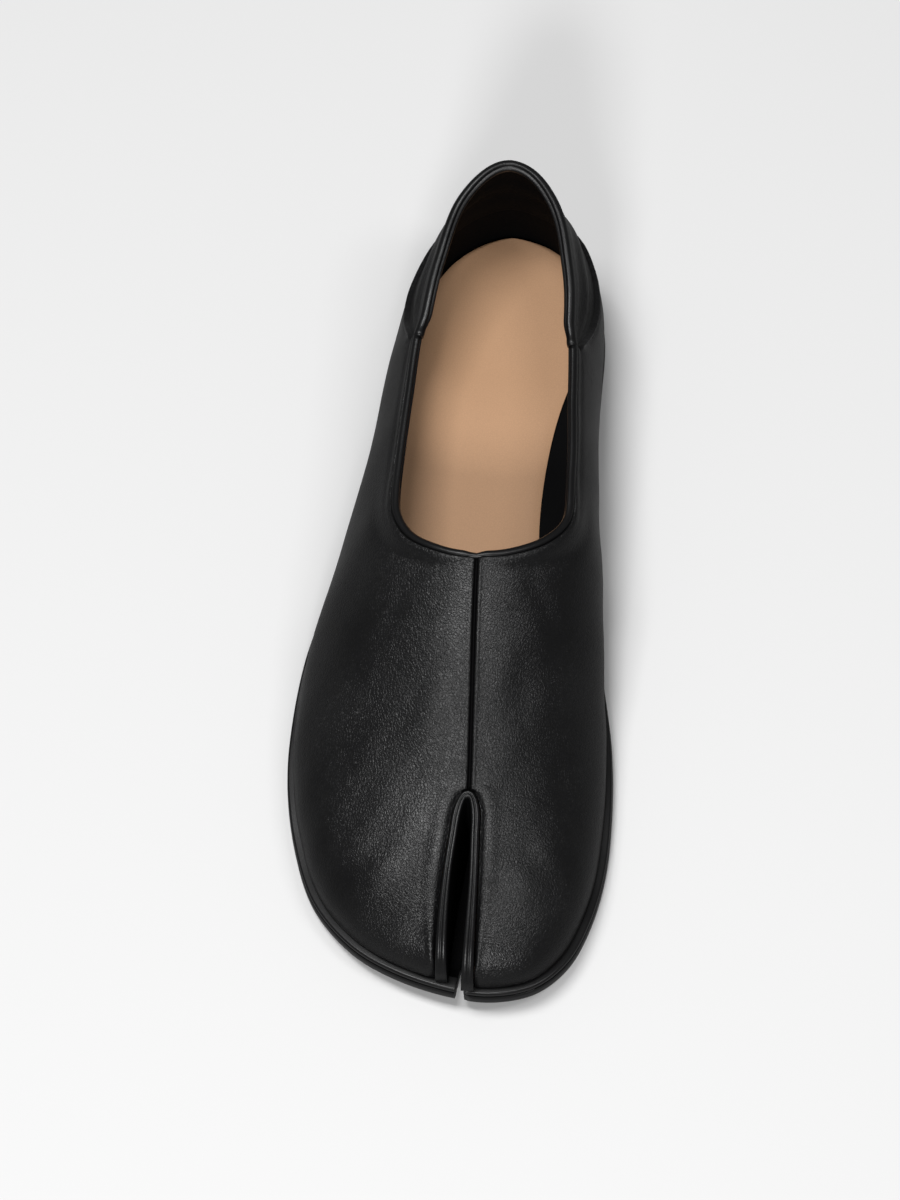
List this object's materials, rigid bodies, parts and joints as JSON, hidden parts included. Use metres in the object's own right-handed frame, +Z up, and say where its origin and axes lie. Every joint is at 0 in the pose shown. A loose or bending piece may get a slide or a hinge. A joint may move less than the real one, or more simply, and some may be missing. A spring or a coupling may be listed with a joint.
{
  "type": "tabi loafer",
  "caption": "Split-toe slip-on loafer with a soft upper cleft between big toe and other toes, rolled collar, soft back quarter and low block heel.",
  "frame": {"origin": "on the floor, under the middle of the shoe", "axes": "toe to -Y, heel to +Y, big-toe side of this right shoe to +X, +Z up"},
  "size_m": [0.105, 0.2722, 0.0752],
  "materials": {
    "upper_leather": "fine-grained black leather with a soft sheen",
    "sole_leather": "black leather with a waxed edge",
    "heel_rubber": "matt black rubber",
    "insole_leather": "plain tan leather sock"
  },
  "bodies": {
    "root": {"outsole": "sole_leather", "welt": "sole_leather", "heel": "heel_rubber", "insole": "insole_leather", "upper": "upper_leather", "toe_gusset": "upper_leather", "vamp_roll": "upper_leather", "back_roll": "upper_leather"}
  },
  "joints": []
}
